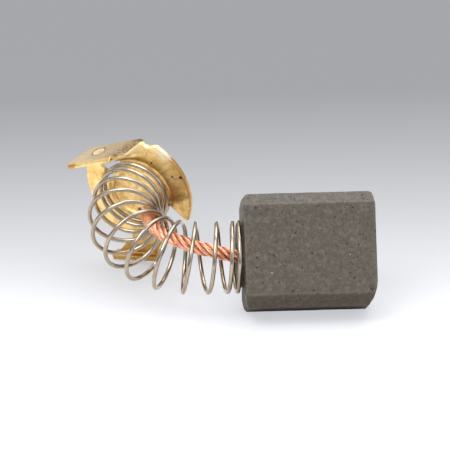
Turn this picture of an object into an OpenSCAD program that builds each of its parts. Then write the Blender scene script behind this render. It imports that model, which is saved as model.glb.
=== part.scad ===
// Carbon brush: graphite block, left-hand compression spring, rope-laid copper
// shunt and one stamped brass terminal, lying as it comes to rest on a table.
// Millimetres. World frame: +Z up, X along the block, origin on the floor in
// the middle of the footprint. The pieces are drawn in the block's own frame
// (x along the block, y up its wide face, z out of the wide face) and laid down
// together by rest().

/* [Block] */
// length of the graphite block along the spring axis
block_len = 12.1; // [8:0.1:20]
// width of the wide face
block_w = 10.5; // [8:0.1:16]
// thickness between the two wide faces
block_t = 6.5; // [5:0.1:12]
// bevel along the four long edges
edge_bevel = 1.05; // [0.3:0.05:1.5]
// how far the spring axis lies below the middle of the wide face
axis_drop = 0.32; // [0:0.01:1]
// how far the corners are cut back at the spring end
back_corner_x = 0.3; // [0:0.05:1]
// how far those cuts run along the end
back_corner_y = 0.8; // [0.2:0.05:2]
// how far the upper corner is worn back at the contact end
front_top_x = 0.4; // [0:0.05:1.5]
// how far that wear runs along the end
front_top_y = 1.3; // [0.2:0.05:3]
// how far the lower corner is worn back at the contact end
front_low_x = 0.8; // [0:0.05:1.5]
// how far that wear runs along the end
front_low_y = 2.1; // [0.2:0.05:3]
// radius of the spigot the spring sits around
spigot_r = 2.85; // [2:0.05:3]
// length of the spigot
spigot_len = 0.55; // [0.2:0.05:1.5]
// depth of the hole for the shunt
shunt_hole_depth = 3.2; // [1:0.1:6]

/* [Spring] */
// wire diameter
wire_d = 0.4; // [0.2:0.01:0.8]
// mean radius of the coils
coil_r = 3.2; // [2:0.05:5]
// coil spacing of the closed end turns
pitch_closed = 0.42; // [0.4:0.01:0.8]
// coil spacing of the open turns
pitch_open = 1.99; // [0.8:0.01:3]
// straight part of the axis before the bend
lead_len = 4.15; // [1:0.05:10]
// radius of the bend of the axis
bend_r = 6.36; // [5:0.02:15]
// angle of the bend
bend_deg = 117.7; // [0:0.1:150]
// direction of the bend, turned from up toward the back
bend_roll = 49.6; // [0:0.1:180]
// turn count where the wire starts
turn_start = -0.35; // [-1:0.05:0]
// turn count where the wire ends
turn_end = 11.85; // [6:0.05:16]
// angle of the wire at turn zero
turn_phase = -4.4; // [-180:0.1:180]
// turn count where the coils start to open
open_from = 0.19; // [0:0.01:3]
// turns over which they open
open_over = 2.31; // [0.5:0.01:5]
// turn count where the coils are closed again
close_at = 12.64; // [8:0.01:16]
// turns over which they close
close_over = 5.3; // [0.5:0.05:8]

/* [Terminal] */
// sheet thickness
sheet_t = 0.48; // [0.3:0.01:1]
// turn of the terminal about the spring axis
term_roll = -23.3; // [-180:0.1:180]
// radius of the outer edge of the wing
wing_r = 5.97; // [5:0.05:8]
// radius of the raised ring inside the spring
boss_r = 2.66; // [2:0.02:3]
// height of the raised ring
boss_h = 0.35; // [0.1:0.01:1]
// width of the raised ring
boss_rim = 0.3; // [0.1:0.01:1]
// depth of the ring groove under the last coil
groove_d = 0.12; // [0.05:0.01:0.3]
// distance from the spring axis to the outer face of the tab
tab_y = 3.85; // [3.5:0.01:5]
// depth of the tab behind the seat
tab_w = 2.9; // [1.5:0.05:5]
// radius of the hole in the tab
tab_hole_r = 0.55; // [0.2:0.01:1]
// place of that hole along the tab
tab_hole_x = -3.4; // [-5:0.05:0]
// place of that hole behind the seat
tab_hole_z = 1.7; // [0.8:0.05:2.5]
// height of the lip on the foot
lip_h = 0.65; // [0.2:0.05:2]

/* [Shunt] */
// radius of one outer strand
strand_r = 0.175; // [0.1:0.005:0.4]
// radius at which the outer strands are laid
lay_r = 0.445; // [0.2:0.005:0.8]
// radius of the middle strand
core_r = 0.24; // [0.1:0.005:0.4]
// length of one full twist of the rope
lay_len = 5; // [2:0.1:12]
// number of outer strands
strands = 6; // [5:1:8]
// place where the shunt meets the seat, across
shunt_x = 0.55; // [-2:0.05:2]
// place where the shunt meets the seat, down
shunt_y = -2.1; // [-3:0.05:0]

/* [Rest] */
// how far the block leans back on the table
lean = 28.12; // [0:0.01:45]
// distance of the spring end from the middle of the footprint, along the block
place_x = 1.63; // [-10:0.01:10]
// distance of the supporting edge from that middle, toward the front
place_y = 5.36; // [0:0.01:12]

/* [Hidden] */
wire_r = wire_d / 2;
fit_gap = 0.01;                       // clearance of pieces that touch
rope_r = lay_r + strand_r;            // outside radius of the shunt
rope_hole_r = rope_r + fit_gap;
tamp_gap = 0.09;                      // room for the shunt as it turns up
tamp_r = 1.3;                         // outside radius of the tamped ring
tamp_len = 0.9;
wire_sides = 8;
per_turn = 20;                        // wire sections in one turn
rope_sides = 6;
rope_steps = 45;                      // sections along the shunt
fold_in = 0.05;
$fn = 64;

// ---- small vector tools ----------------------------------------------------
function unit(v) = v / norm(v);
function sm(u) = let (c = min(1, max(0, u))) c * c * (3 - 2 * c);
// v turned by a about the unit axis k
function spin(v, k, a) = v * cos(a) + cross(k, v) * sin(a)
    + k * (k * v) * (1 - cos(a));

// ---- spring axis: a straight lead, one bend, a straight end ------------------
lead_dir = [-1, 0, 0];
up_dir = [0, 1, 0];
out_dir = [0, 0, 1];
bend_dir = cos(bend_roll) * up_dir - sin(bend_roll) * out_dir;
bend_axis = cross(lead_dir, bend_dir);
bend_len = bend_r * bend_deg * PI / 180;
// angle turned through at arc length s
function turned(s) = min(bend_deg,
    max(0, (s - lead_len) / bend_r * 180 / PI));
function axis_point(s) = let (a = turned(s))
    lead_dir * min(s, lead_len)
    + bend_r * (sin(a) * lead_dir + (1 - cos(a)) * bend_dir)
    + max(0, s - lead_len - bend_len) * spin(lead_dir, bend_axis, a);
function axis_dir(s) = spin(lead_dir, bend_axis, turned(s));
function axis_up(s) = spin(up_dir, bend_axis, turned(s));
function axis_out(s) = spin(out_dir, bend_axis, turned(s));

// ---- spring wire --------------------------------------------------------------
function pitch(t) = pitch_closed + (pitch_open - pitch_closed)
    * sm((t - open_from) / open_over) * sm((close_at - t) / close_over);
turn_step = 1 / per_turn;
wire_n = round((turn_end - turn_start) / turn_step);
function turn_at(i) = turn_start + i * turn_step;
// arc length of the axis reached after each wire section
wire_s = [for (i = 0, s = wire_r; i <= wire_n;
    s = s + turn_step * pitch(turn_at(i) + turn_step / 2), i = i + 1) s];
function wire_point(i) = let (a = 360 * turn_at(i) + turn_phase)
    axis_point(wire_s[i])
    + coil_r * (cos(a) * axis_up(wire_s[i]) + sin(a) * axis_out(wire_s[i]));
spring_len = wire_s[wire_n];

// ---- a round bar along a line of points ---------------------------------------
function heading(p, i) = unit(p[min(i + 1, len(p) - 1)] - p[max(i - 1, 0)]);
function carried(p) = [for (i = 0,
        v = unit(cross(heading(p, 0), [0.31, 0.52, 0.79]));
    i < len(p);
    i = i + 1,
        v = i < len(p)
            ? unit(v - heading(p, i) * (v * heading(p, i))) : v) v];
module bar(p, r, n) {
    side = carried(p);
    pts = [for (i = [0:len(p) - 1]) let (h = heading(p, i), u = side[i],
            w = cross(h, u)) for (j = [0:n - 1])
        p[i] + r * (cos(360 * j / n) * u + sin(360 * j / n) * w)];
    last = (len(p) - 1) * n;
    faces = concat(
        [[for (j = [0:n - 1]) j]],
        [for (i = [0:len(p) - 2]) for (j = [0:n - 1]) let (k = (j + 1) % n)
            [i * n + j, (i + 1) * n + j, (i + 1) * n + k, i * n + k]],
        [[for (j = [n - 1:-1:0]) last + j]]);
    polyhedron(points = pts, faces = faces, convexity = 12);
}

// ---- terminal frame -------------------------------------------------------------
// the last coil sits in the groove, so the face of the seat is a little nearer
seat_s = spring_len + wire_r - groove_d + fit_gap;
seat_at = axis_point(seat_s);
seat_out = -axis_dir(seat_s);
seat_x = cos(term_roll) * axis_up(seat_s) + sin(term_roll) * axis_out(seat_s);
seat_y = cross(seat_out, seat_x);
module at_seat() multmatrix([
    [seat_x[0], seat_y[0], seat_out[0], seat_at[0]],
    [seat_x[1], seat_y[1], seat_out[1], seat_at[1]],
    [seat_x[2], seat_y[2], seat_out[2], seat_at[2]],
    [0, 0, 0, 1]]) children();
function seat_point(x, y, z) = seat_at + x * seat_x + y * seat_y + z * seat_out;

// ---- shunt route ------------------------------------------------------------------
// points inside the spring: share of the axis from block to seat, then the way
// toward the coils, up and out, as shares of the room that the shunt leaves
room = coil_r - wire_r - rope_r;
inside = [
    [0.066, 0.092, -0.021], [0.134, 0.239, -0.097], [0.204, 0.403, -0.235],
    [0.294, 0.581, -0.37], [0.394, 0.692, -0.492], [0.515, 0.739, -0.596],
    [0.656, 0.662, -0.732], [0.797, 0.456, -0.865], [0.897, 0.13, -0.915],
    [0.948, -0.095, -0.922]];
function inside_point(q) = let (s = q[0] * seat_s) axis_point(s)
    + room * (q[1] * axis_up(s) + q[2] * axis_out(s));
route = concat(
    [[shunt_hole_depth - 0.1, 0, 0], [shunt_hole_depth / 2, 0, 0], [0, 0, 0]],
    [for (q = inside) inside_point(q)],
    [seat_point(shunt_x, shunt_y, 0.4),
        seat_point(shunt_x, shunt_y, 0.03 - sheet_t)]);
// smooth curve through the route, u from 0 to the last index
function curve_point(u) = let (n = len(route) - 1, i = min(n - 1, floor(u)),
        f = u - i, a = route[max(0, i - 1)], b = route[i], c = route[i + 1],
        d = route[min(n, i + 2)])
    0.5 * (2 * b + (c - a) * f + (2 * a - 5 * b + 4 * c - d) * f * f
        + (3 * b - a - 3 * c + d) * f * f * f);
rope_line = [for (i = [0:rope_steps])
    curve_point(i * (len(route) - 1) / rope_steps)];
rope_side = carried(rope_line);
// length walked along the rope at each section
rope_run = [for (i = 0, s = 0; i <= rope_steps;
    i = i + 1, s = i <= rope_steps ? s + norm(rope_line[i] - rope_line[i - 1])
        : s) s];
// the last section runs straight, so that every strand ends square
function strand_line(k) = [for (i = [0:rope_steps]) let (
        a = 360 * (k / strands + rope_run[min(i, rope_steps - 1)] / lay_len),
        u = rope_side[i], w = cross(heading(rope_line, i), u))
    rope_line[i] + lay_r * (cos(a) * u + sin(a) * w)];

// ---- laying the whole thing on the table ---------------------------------------------
// the block leans back on the rear edge of its lower narrow face
low_y = -block_w / 2 + axis_drop;
rear_z = -block_t / 2 + edge_bevel;
drop = low_y * cos(lean) + rear_z * sin(lean);
module rest() translate([place_x, -place_y, -drop]) rotate([90 - lean, 0, 0])
    children();

// ---- pieces -------------------------------------------------------------------------------
module block_side() {
    t = block_w / 2 + axis_drop;
    b = low_y;
    polygon([[back_corner_x, b], [block_len - front_low_x, b],
        [block_len - front_low_x * 0.45, b + front_low_y * 0.3],
        [block_len - front_low_x * 0.12, b + front_low_y * 0.7],
        [block_len, b + front_low_y], [block_len, t - front_top_y],
        [block_len - front_top_x * 0.25, t - front_top_y * 0.45],
        [block_len - front_top_x * 0.6, t - front_top_y * 0.12],
        [block_len - front_top_x * 1.3, t],
        [back_corner_x * 1.5, t], [back_corner_x * 0.5, t - back_corner_y * 0.2],
        [0, t - back_corner_y], [0, b + back_corner_y * 1.4],
        [back_corner_x * 0.3, b + back_corner_y * 0.4]]);
}
module block_section() {
    t = block_w / 2 + axis_drop;
    b = low_y;
    h = block_t / 2;
    e = edge_bevel;
    polygon([[b + e, -h], [t - e, -h], [t, -h + e], [t, h - e], [t - e, h],
        [b + e, h], [b, h - e], [b, -h + e]]);
}
module carbon_block() color([0.2, 0.19, 0.18]) rest() difference() {
    union() {
        intersection() {
            linear_extrude(height = block_t + 2, center = true) block_side();
            rotate([90, 0, 90]) linear_extrude(height = block_len)
                block_section();
        }
        rotate([0, -90, 0]) cylinder(r1 = spigot_r, r2 = spigot_r - 0.1,
            h = spigot_len);
    }
    translate([-spigot_len - 1, 0, 0]) rotate([0, 90, 0])
        cylinder(r = rope_hole_r, h = shunt_hole_depth + spigot_len + 1);
    translate([-spigot_len - 1, 0, 0]) rotate([0, 90, 0])
        cylinder(r = tamp_r, h = tamp_len + 1);
}

module tamping() color([0.35, 0.33, 0.32]) rest()
    translate([-spigot_len, 0, 0]) rotate([0, 90, 0]) difference() {
        cylinder(r = tamp_r, h = tamp_len);
        translate([0, 0, -1]) cylinder(r = rope_r + tamp_gap,
            h = tamp_len + 2);
    }

module spring() color([0.7, 0.7, 0.7]) rest()
    bar([for (i = [0:wire_n]) wire_point(i)], wire_r, wire_sides);

// flat outline of the seat with wing, ear and foot
module seat_outline() {
    wing_c = [-0.66, 0.15];
    a0 = 40.5;
    a1 = -41.5;
    polygon(concat(
        [[-0.45, 3.45], [2.3, 4.72], [2.62, 4.62], [2.75, 4.35], [3.05, 4.12],
            [3.55, 4.12]],
        [for (a = [a0:-6:a1]) wing_c + wing_r * [cos(a), sin(a)]],
        [[3.72, -3.98], [3.47, -3.8], [2.4, -1.82], [1.6, -3], [0.9, -4.5],
            [0, -5.7], [-0.85, -6.4], [-1.02, -7.18], [-5.46, -6.12],
            [-4.57, -5.62], [-3.91, -5.2], [-3.05, -5.0], [-2.66, -4.24],
            [-2.72, -3.98], [-3.77, -3.8], [-4.4, -3.48], [-4.95, -2.9],
            [-5.26, -2.2], [-5.22, -1.45], [-5.1, -0.6], [-4.95, 0.6],
            [-4.78, 1.7], [-4.55, 2.45], [-4.2, 3.2], [-4.15, 3.45],
            [-2.55, 3.45], [-2.5, 2.95], [-2.25, 2.4], [-2.75, 1.55],
            [-2.45, 1.25], [-1.42, 1.8], [-0.85, 2.3]]));
}
// tab seen square on: x along the fold, y the depth behind the seat
module tab_outline() polygon([[-6.15, 0], [-6.22, 0.45], [-5.35, 1.95],
    [-4.7, 2.78], [-4.4, tab_w], [0.7, tab_w], [0.95, tab_w - 0.12],
    [2.1, 1.5], [2.5, sheet_t], [2.5, 0], [-0.95, 0], [-1, 0.3],
    [-1.4, 0.3], [-1.45, 0]]);
module terminal() color([0.85, 0.68, 0.35]) rest() at_seat() difference() {
    union() {
        translate([0, 0, -sheet_t]) linear_extrude(height = sheet_t)
            seat_outline();
        // raised ring inside the spring
        translate([0, 0, -fold_in]) cylinder(r1 = boss_r + 0.06,
            r2 = boss_r, h = boss_h + fold_in);
        // tab folded back from the upper side
        translate([0, tab_y, 0]) rotate([-90, 0, 0])
            translate([0, 0, -sheet_t]) linear_extrude(height = sheet_t)
                tab_outline();
        // lip along the foot
        translate([-5.43, -6.2, -sheet_t]) rotate([0, 0, -13.4])
            cube([4.5, 0.44, sheet_t + lip_h]);
    }
    // dish inside the raised ring
    translate([0, 0, boss_h - 0.2]) cylinder(r1 = boss_r - boss_rim - 0.1,
        r2 = boss_r - boss_rim, h = 1);
    // groove for the last coil
    rotate_extrude() translate([coil_r, 0.33]) circle(r = 0.33 + groove_d,
        $fn = 32);
    // hole in the tab
    translate([tab_hole_x, 0, -tab_hole_z]) rotate([-90, 0, 0])
        cylinder(r = tab_hole_r, h = tab_y + 1);
    // hole the shunt goes through, open to one side
    translate([shunt_x, shunt_y, -sheet_t - 1]) cylinder(r = rope_hole_r,
        h = sheet_t + 3);
    translate([shunt_x - 1.3, shunt_y - 0.35, -sheet_t - 1])
        cube([1.3, 0.75, sheet_t + 3]);
}

module weld() color([0.75, 0.72, 0.68]) rest() at_seat()
    translate([shunt_x, shunt_y, -sheet_t - fit_gap]) mirror([0, 0, 1])
        cylinder(r1 = 1.15, r2 = 0.75, h = 0.35);

module shunt_core() color([0.8, 0.5, 0.35]) rest()
    bar(rope_line, core_r, rope_sides);
module strand(k) color([0.85, 0.55, 0.4]) rest()
    bar(strand_line(k), strand_r, rope_sides);
module shunt_strand_1() strand(0);
module shunt_strand_2() strand(1);
module shunt_strand_3() strand(2);
module shunt_strand_4() strand(3);
module shunt_strand_5() strand(4);
module shunt_strand_6() strand(5);

carbon_block();
tamping();
spring();
terminal();
weld();
shunt_core();
shunt_strand_1();
shunt_strand_2();
shunt_strand_3();
shunt_strand_4();
shunt_strand_5();
shunt_strand_6();
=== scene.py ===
"""Looks of a carbon brush lying on a table.

A graphite block carries a bent coil spring, a stranded copper shunt runs inside
the spring, and a stamped brass terminal closes its far end.
"""

import logging
import math
from dataclasses import dataclass, fields
from enum import Enum
from functools import cache

import bpy
from bpy.types import Material, Mesh, Node, NodeTree, Object
from mathutils import Matrix, Vector, noise


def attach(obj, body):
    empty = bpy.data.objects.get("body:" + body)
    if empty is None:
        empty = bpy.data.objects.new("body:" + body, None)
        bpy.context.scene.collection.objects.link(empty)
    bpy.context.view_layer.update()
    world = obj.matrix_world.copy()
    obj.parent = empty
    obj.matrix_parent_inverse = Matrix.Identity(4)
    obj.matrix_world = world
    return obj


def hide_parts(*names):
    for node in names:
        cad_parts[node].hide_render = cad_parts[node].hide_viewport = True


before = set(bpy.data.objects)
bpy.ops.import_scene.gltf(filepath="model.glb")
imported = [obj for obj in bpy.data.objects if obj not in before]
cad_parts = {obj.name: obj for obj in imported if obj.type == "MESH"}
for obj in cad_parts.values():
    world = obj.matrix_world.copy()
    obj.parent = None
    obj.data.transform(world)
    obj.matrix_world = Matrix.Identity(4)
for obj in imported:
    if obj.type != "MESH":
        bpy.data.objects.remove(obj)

log = logging.getLogger("carbon_brush")

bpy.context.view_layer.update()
MM = 0.001
BODY = "root"
LEAD = Vector((-1.0, 0.0, 0.0))

Pair = tuple[float, float]
Triple = tuple[float, float, float]
Socket = bpy.types.NodeSocket


# Sizes and places, in millimetres, as in the part's source


def smooth_step(u: float) -> float:
    """Ease from 0 to 1 while u goes from 0 to 1."""
    c = min(1.0, max(0.0, u))
    return c * c * (3.0 - 2.0 * c)


@dataclass(frozen=True)
class RestingPose:
    """How the block leans back on its lower rear edge."""

    lean_deg: float = 28.12
    place_x: float = 1.63
    place_y: float = 5.36
    edge_y: float = -4.93
    edge_z: float = -2.2

    def turn(self) -> Matrix:
        """Rotation from the block's own frame to the table's frame."""
        return Matrix.Rotation(math.radians(90.0 - self.lean_deg), 3, "X")

    def shift(self) -> Vector:
        """Move that follows the rotation, in millimetres."""
        lean = math.radians(self.lean_deg)
        drop = self.edge_y * math.cos(lean) + self.edge_z * math.sin(lean)
        return Vector((self.place_x, -self.place_y, -drop))

    def to_table(self, point: Vector) -> Vector:
        """Take a point from the block's frame, in millimetres, to the table, in metres."""
        return (self.turn() @ point + self.shift()) * MM


@dataclass(frozen=True)
class BentAxis:
    """Axis of the spring: a straight lead, one bend and a straight end."""

    lead_len: float = 4.15
    bend_r: float = 6.36
    bend_deg: float = 117.7
    bend_roll: float = 49.6

    def bend_dir(self) -> Vector:
        """Direction in which the axis leaves its straight lead."""
        roll = math.radians(self.bend_roll)
        return Vector((0.0, math.cos(roll), -math.sin(roll)))

    def turned(self, s: float) -> float:
        """Angle, in radians, turned through at arc length s."""
        return min(math.radians(self.bend_deg), max(0.0, (s - self.lead_len) / self.bend_r))

    def carry(self, v: Vector, s: float) -> Vector:
        """Turn a direction along with the axis up to arc length s."""
        return Matrix.Rotation(self.turned(s), 3, LEAD.cross(self.bend_dir())) @ v

    def point(self, s: float) -> Vector:
        """Point of the axis at arc length s."""
        a = self.turned(s)
        run = max(0.0, s - self.lead_len - self.bend_r * math.radians(self.bend_deg))
        return (LEAD * min(s, self.lead_len)
                + self.bend_r * (math.sin(a) * LEAD + (1.0 - math.cos(a)) * self.bend_dir())
                + run * self.carry(LEAD, s))


@dataclass(frozen=True)
class CoilShape:
    """Wire and pitch law of the spring."""

    axis: BentAxis = BentAxis()
    wire_d: float = 0.4
    coil_r: float = 3.2
    pitch_closed: float = 0.42
    pitch_open: float = 1.99
    turn_start: float = -0.35
    turn_end: float = 11.85
    turn_phase: float = -4.4
    open_from: float = 0.19
    open_over: float = 2.31
    close_at: float = 12.64
    close_over: float = 5.3

    def pitch(self, t: float) -> float:
        """Coil spacing at turn t."""
        opening = smooth_step((t - self.open_from) / self.open_over)
        closing = smooth_step((self.close_at - t) / self.close_over)
        return self.pitch_closed + (self.pitch_open - self.pitch_closed) * opening * closing

    def centreline(self, per_turn: int) -> list[Vector]:
        """Points along the wire.

        Args:
            per_turn: number of points in one turn.

        Returns:
            Points in the block's frame, in millimetres.
        """
        step = 1.0 / per_turn
        s = self.wire_d / 2
        points = []
        for i in range(round((self.turn_end - self.turn_start) / step) + 1):
            t = self.turn_start + i * step
            a = math.radians(360.0 * t + self.turn_phase)
            side = Vector((0.0, math.cos(a), math.sin(a)))
            points.append(self.axis.point(s) + self.coil_r * self.axis.carry(side, s))
            s += step * self.pitch(t + step / 2)
        return points

    def length(self, per_turn: int = 20) -> float:
        """Length of the spring along its axis, as the part's source sums it."""
        step = 1.0 / per_turn
        s = self.wire_d / 2
        for i in range(round((self.turn_end - self.turn_start) / step)):
            s += step * self.pitch(self.turn_start + (i + 0.5) * step)
        return s


@dataclass(frozen=True)
class SeatFrame:
    """Frame of the terminal's seat plate, at the far end of the spring."""

    coil: CoilShape = CoilShape()
    roll_deg: float = -23.3
    groove_d: float = 0.12
    fit_gap: float = 0.01

    def reach(self) -> float:
        """Arc length of the spring's axis at the seat's face."""
        return self.coil.length() + self.coil.wire_d / 2 - self.groove_d + self.fit_gap

    def axes(self) -> Matrix:
        """Columns: along the fold, past the tab, toward the spring."""
        s = self.reach()
        roll = math.radians(self.roll_deg)
        out = -self.coil.axis.carry(LEAD, s)
        x = self.coil.axis.carry(Vector((0, math.cos(roll), math.sin(roll))), s)
        return Matrix((x, out.cross(x), out)).transposed()

    def point(self, local: Vector) -> Vector:
        """Take a point of the seat's own frame to the block's frame."""
        return self.coil.axis.point(self.reach()) + self.axes() @ local


@dataclass(frozen=True)
class ShuntShape:
    """Route and lay of the copper shunt.

    The route inside the spring is given as shares of the axis's length and of
    the room inside the coils.
    """

    seat: SeatFrame = SeatFrame()
    strand_r: float = 0.175
    lay_r: float = 0.445
    lay_len: float = 5.0
    strands: int = 6
    wires: int = 9
    seat_spot: Pair = (0.55, -2.1)
    seat_rise: float = 0.4
    weld_skin: float = 0.03
    sheet_t: float = 0.48
    hole_depth: float = 3.2
    hole_gap: float = 0.1
    inside: tuple[Triple, ...] = (
        (0.066, 0.092, -0.021), (0.134, 0.239, -0.097), (0.204, 0.403, -0.235),
        (0.294, 0.581, -0.370), (0.394, 0.692, -0.492), (0.515, 0.739, -0.596),
        (0.656, 0.662, -0.732), (0.797, 0.456, -0.865), (0.897, 0.130, -0.915),
        (0.948, -0.095, -0.922),
    )

    def knots(self) -> list[Vector]:
        """Points that the shunt runs through, in the block's frame."""
        coil, reach = self.seat.coil, self.seat.reach()
        room = coil.coil_r - coil.wire_d / 2 - self.lay_r - self.strand_r
        depths = (self.hole_depth - self.hole_gap, self.hole_depth / 2, 0)
        points = [Vector((x, 0, 0)) for x in depths]
        for share, up, out in self.inside:
            side = coil.axis.carry(Vector((0, up, out)), share * reach)
            points.append(coil.axis.point(share * reach) + room * side)
        return points + [self.seat.point(Vector((*self.seat_spot, z)))
                         for z in (self.seat_rise, self.weld_skin - self.sheet_t)]

    def centreline(self, count: int) -> list[Vector]:
        """Smooth curve through the knots.

        Args:
            count: number of stretches between points.

        Returns:
            Points in the block's frame, in millimetres.
        """
        k = self.knots()
        n = len(k) - 1
        line = []
        for j in range(count + 1):
            u = j * n / count
            i = min(n - 1, int(u))
            f = u - i
            a, b, c, d = k[max(0, i - 1)], k[i], k[i + 1], k[min(n, i + 2)]
            line.append(0.5 * (2 * b + (c - a) * f + (2 * a - 5 * b + 4 * c - d) * f * f
                               + (3 * b - a - 3 * c + d) * f ** 3))
        return line


# Small makers for node trees and meshes


class Tree:
    """Thin helper that adds and links nodes in any node tree."""

    def __init__(self, tree: NodeTree) -> None:
        """Keep the tree that is being filled."""
        self.tree = tree

    def add(self, kind: str, **settings: object) -> Node:
        """Add a node and set its properties.

        Args:
            kind: Blender's name of the node type.
            **settings: properties of the node.

        Returns:
            The new node.
        """
        node = self.tree.nodes.new(kind)
        for name, value in settings.items():
            setattr(node, name, value)
        return node

    def feed(self, node: Node, **inputs: object) -> Node:
        """Set or link inputs by name, with underscores for spaces.

        Args:
            node: the node to feed.
            **inputs: values, or output sockets to link.

        Returns:
            The same node.
        """
        for name, value in inputs.items():
            self.put(node.inputs[name.replace("_", " ")], value)
        return node

    def fed(self, kind: str, **inputs: object) -> Node:
        """Add a node of a kind and feed its inputs."""
        return self.feed(self.add(kind), **inputs)

    def put(self, socket: Socket, value: object) -> None:
        """Link an output to the socket, or set the socket's value."""
        if isinstance(value, Socket):
            self.tree.links.new(value, socket)
        else:
            socket.default_value = value

    def math(self, operation: str, a: object, b: object = 0.0) -> Socket:
        """Add a math node of two values and return its result."""
        node = self.add("ShaderNodeMath", operation=operation)
        self.put(node.inputs[0], a)
        self.put(node.inputs[1], b)
        return node.outputs[0]

    def times(self, first: object, *more: object) -> object:
        """Multiply values with each other."""
        for value in more:
            first = self.math("MULTIPLY", first, value)
        return first

    def plus(self, first: object, *more: object) -> object:
        """Add values to each other."""
        for value in more:
            first = self.math("ADD", first, value)
        return first

    def minus(self, a: object, b: object) -> Socket:
        """Take one value from another."""
        return self.math("SUBTRACT", a, b)

    def vector(self, operation: str, a: object, b: object = (0, 0, 0),
               output: str = "Vector") -> Socket:
        """Add a vector math node of two vectors and return its result."""
        node = self.add("ShaderNodeVectorMath", operation=operation)
        self.put(node.inputs[0], a)
        self.put(node.inputs[1], b)
        return node.outputs[output]

    def split(self, vector: Socket) -> list[Socket]:
        """Take a vector apart into its three numbers."""
        return list(self.fed("ShaderNodeSeparateXYZ", Vector=vector).outputs)

    def ramp(self, value: object, low: object, high: object,
             start: float = 0.0, end: float = 1.0) -> Socket:
        """Map low..high of a value smoothly to start..end."""
        node = self.add("ShaderNodeMapRange", interpolation_type="SMOOTHSTEP")
        self.feed(node, Value=value, From_Min=low, From_Max=high, To_Min=start, To_Max=end)
        return node.outputs["Result"]

    def mix(self, factor: object, a: object, b: object) -> Socket:
        """Mix two colours by a factor and return the result."""
        node = self.add("ShaderNodeMix", data_type="RGBA")
        for index, value in ((0, factor), (6, a), (7, b)):
            self.put(node.inputs[index], value)
        return node.outputs[2]

    def noise(self, vector: Socket, scale: object, detail: object = 3.0,
              rough: object = 0.5) -> Socket:
        """Add a noise texture and return its value."""
        return self.fed("ShaderNodeTexNoise", Vector=vector, Scale=scale, Detail=detail,
                        Roughness=rough).outputs[0]

    def store(self, geometry: Socket, name: str, value: Socket, data_type: str = "FLOAT",
              domain: str = "POINT") -> Socket:
        """Store a value on a geometry under a name and return the geometry."""
        node = self.add("GeometryNodeStoreNamedAttribute", data_type=data_type, domain=domain)
        return self.feed(node, Geometry=geometry, Name=name, Value=value).outputs[0]


def sockets(group: NodeTree, inputs: dict[str, str], output: str, kind: str) -> dict[str, str]:
    """Give a group its sockets.

    Args:
        group: a group without sockets.
        inputs: kinds of the inputs by name.
        output: name of the output.
        kind: kind of the output.

    Returns:
        The inputs' identifiers by name.
    """
    face = group.interface
    found = {name: face.new_socket(name, in_out="INPUT", socket_type=f"NodeSocket{one}").identifier
             for name, one in inputs.items()}
    face.new_socket(output, in_out="OUTPUT", socket_type=f"NodeSocket{kind}")
    return found


def rgba(colour: Triple) -> tuple[float, float, float, float]:
    """Add a full alpha to a colour."""
    return (*colour, 1.0)


def mesh_of(piece: Object) -> Mesh:
    """Plain mesh of a piece with its modifiers worked out."""
    graph = bpy.context.evaluated_depsgraph_get()
    return bpy.data.meshes.new_from_object(piece.evaluated_get(graph), depsgraph=graph)


def link(piece: Object) -> Object:
    """Put a piece into the scene."""
    bpy.context.scene.collection.objects.link(piece)
    return piece


class Shade(Enum):
    """How a finished mesh is shaded."""

    SMOOTH = True
    FLAT = False


def finished(name: str, mesh: Mesh, material: Material, shade: Shade = Shade.SMOOTH) -> Object:
    """Make a piece from a mesh and its finish.

    Args:
        name: name of the piece.
        mesh: mesh in the table's frame, in metres.
        material: finish of the whole piece.
        shade: smooth or flat shading.

    Returns:
        The new object, at the origin.
    """
    mesh.materials.clear()
    mesh.materials.append(material)
    mesh.polygons.foreach_set("use_smooth", [shade.value] * len(mesh.polygons))
    mesh.name = name
    return link(bpy.data.objects.new(name, mesh))


@dataclass(frozen=True)
class Softening:
    """How sharp edges of a node are worn round."""

    voxel: float
    passes: int
    factor: float = 0.5
    join_gap: float = 0.0005

    def mesh(self, node: str) -> Mesh:
        """Copy a node's mesh with its edges rounded.

        Args:
            node: name of the node, which itself stays as it is.

        Returns:
            A new mesh in the table's frame, in millimetres.
        """
        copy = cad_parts[node].data.copy()
        copy.transform(Matrix.Scale(1.0 / MM, 4))
        helper = link(bpy.data.objects.new(f"{node}_helper", copy))
        helper.modifiers.new("join", "WELD").merge_threshold = self.join_gap
        remesh = helper.modifiers.new("grid", "REMESH")
        remesh.mode = "VOXEL"
        remesh.voxel_size = self.voxel
        smooth = helper.modifiers.new("wear", "SMOOTH")
        smooth.factor = self.factor
        smooth.iterations = self.passes
        mesh = mesh_of(helper)
        bpy.data.objects.remove(helper)
        return mesh


def move_to(mesh: Mesh, points: list[Vector]) -> None:
    """Give a mesh's vertices their new places."""
    mesh.vertices.foreach_set("co", [c for point in points for c in point])
    mesh.update()


def sided(mesh: Mesh) -> list[tuple[Vector, Vector]]:
    """Place and normal of each vertex, read before any of them moves."""
    return [(v.co.copy(), v.normal.copy()) for v in mesh.vertices]


def roughened(mesh: Mesh, *lumps: Triple) -> Mesh:
    """Move a mesh in and out by soft noises, and take it to metres.

    Args:
        mesh: the mesh to change, in millimetres.
        *lumps: size of the lumps, largest move and shift of each noise.

    Returns:
        The same mesh, in metres.
    """
    for size, depth, seed in lumps:
        offset = Vector((seed, 2.0 * seed, -seed))
        move_to(mesh, [co + normal * depth * noise.noise(co / size + offset)
                       for co, normal in sided(mesh)])
    mesh.transform(Matrix.Scale(MM, 4))
    return mesh


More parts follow.
